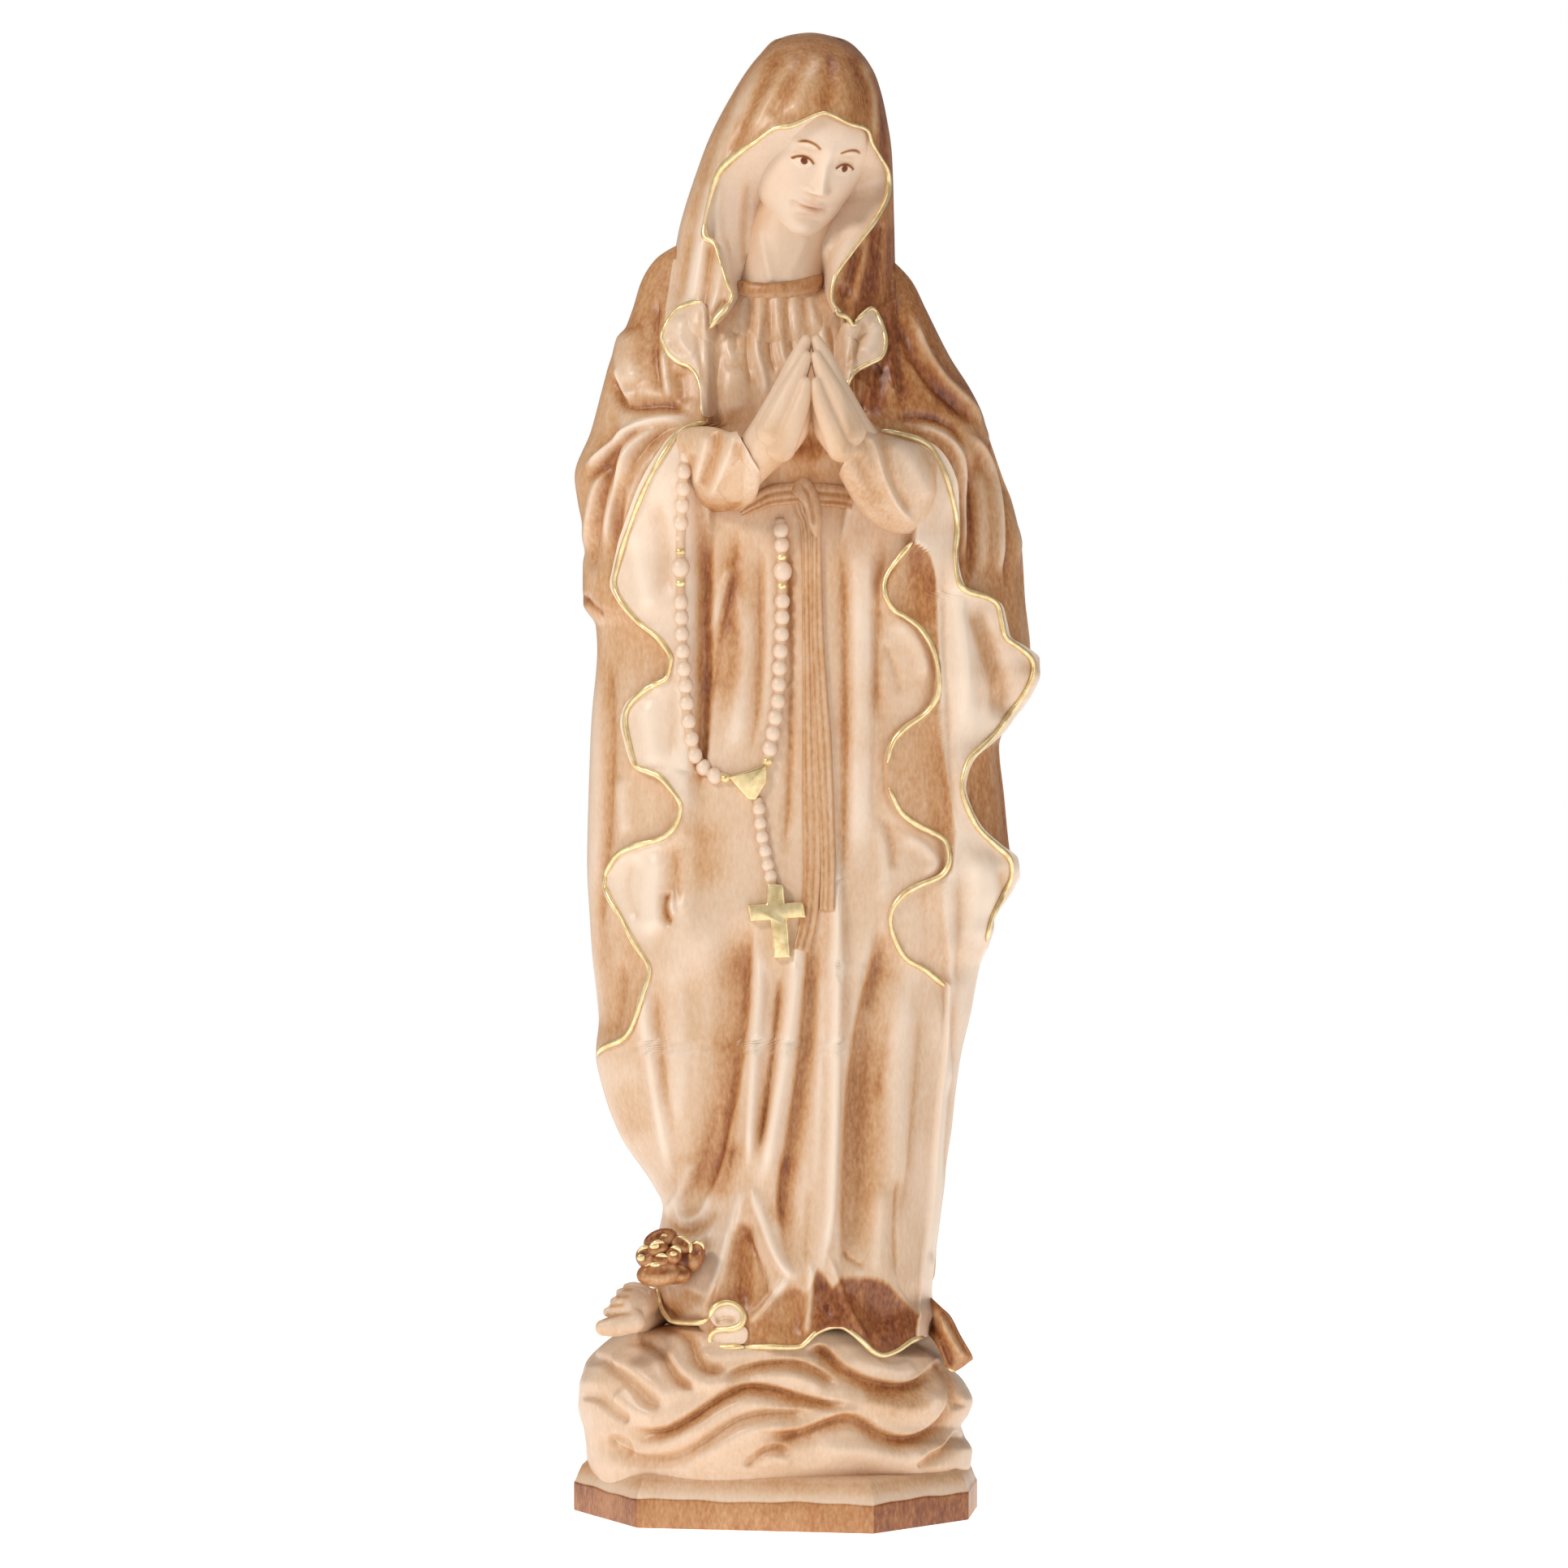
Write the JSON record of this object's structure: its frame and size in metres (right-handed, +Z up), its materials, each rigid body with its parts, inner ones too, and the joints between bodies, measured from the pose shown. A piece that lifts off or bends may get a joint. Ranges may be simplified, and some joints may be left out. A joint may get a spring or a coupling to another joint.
{
  "type": "madonna statue",
  "caption": "Carved wooden standing madonna with veil, mantle, praying hands, rosary and rose, on a cloud mound and an octagonal plinth.",
  "frame": {"origin": "centre of the bounding box at the underside of the plinth", "axes": "+Z up, along the figure; -Y towards the plinth's front face; +X to the right of someone facing the front"},
  "size_m": [0.1412, 0.1031, 0.4548],
  "materials": {
    "maple_natural": "natural maple, waxed satin",
    "maple_light_stain": "maple with light brown stain, waxed satin",
    "maple_brown_stain": "maple with brown stain, waxed satin",
    "maple_skin": "pale maple, smooth and waxed",
    "gilding": "gold paint on wood, satin",
    "dowel_wood": "plain beech dowel"
  },
  "bodies": {
    "root": {"plinth": "maple_brown_stain", "cloud_mound": "maple_natural", "robe": "maple_natural", "mantle": "maple_light_stain", "head_and_neck": "maple_skin", "veil": "maple_light_stain", "veil_fold_right_side": "maple_natural", "veil_fold_left_side": "maple_natural", "right_sleeve": "maple_light_stain", "left_sleeve": "maple_natural", "right_hand": "maple_skin", "left_hand": "maple_skin", "belt": "maple_brown_stain", "belt_knot": "maple_light_stain", "sash_tail_short": "maple_light_stain", "sash_tail_long": "maple_light_stain", "rosary_right_strand": "maple_natural", "rosary_left_strand": "maple_natural", "rosary_pendant_strand": "maple_natural", "rosary_centre": "gilding", "rosary_cross": "gilding", "right_foot": "maple_skin", "foot_rose": "maple_brown_stain", "trailing_hem": "maple_brown_stain", "base_dowel_left": "dowel_wood", "base_dowel_right": "dowel_wood", "neck_dowel": "dowel_wood", "right_hand_peg": "dowel_wood", "left_hand_peg": "dowel_wood"}
  },
  "joints": []
}
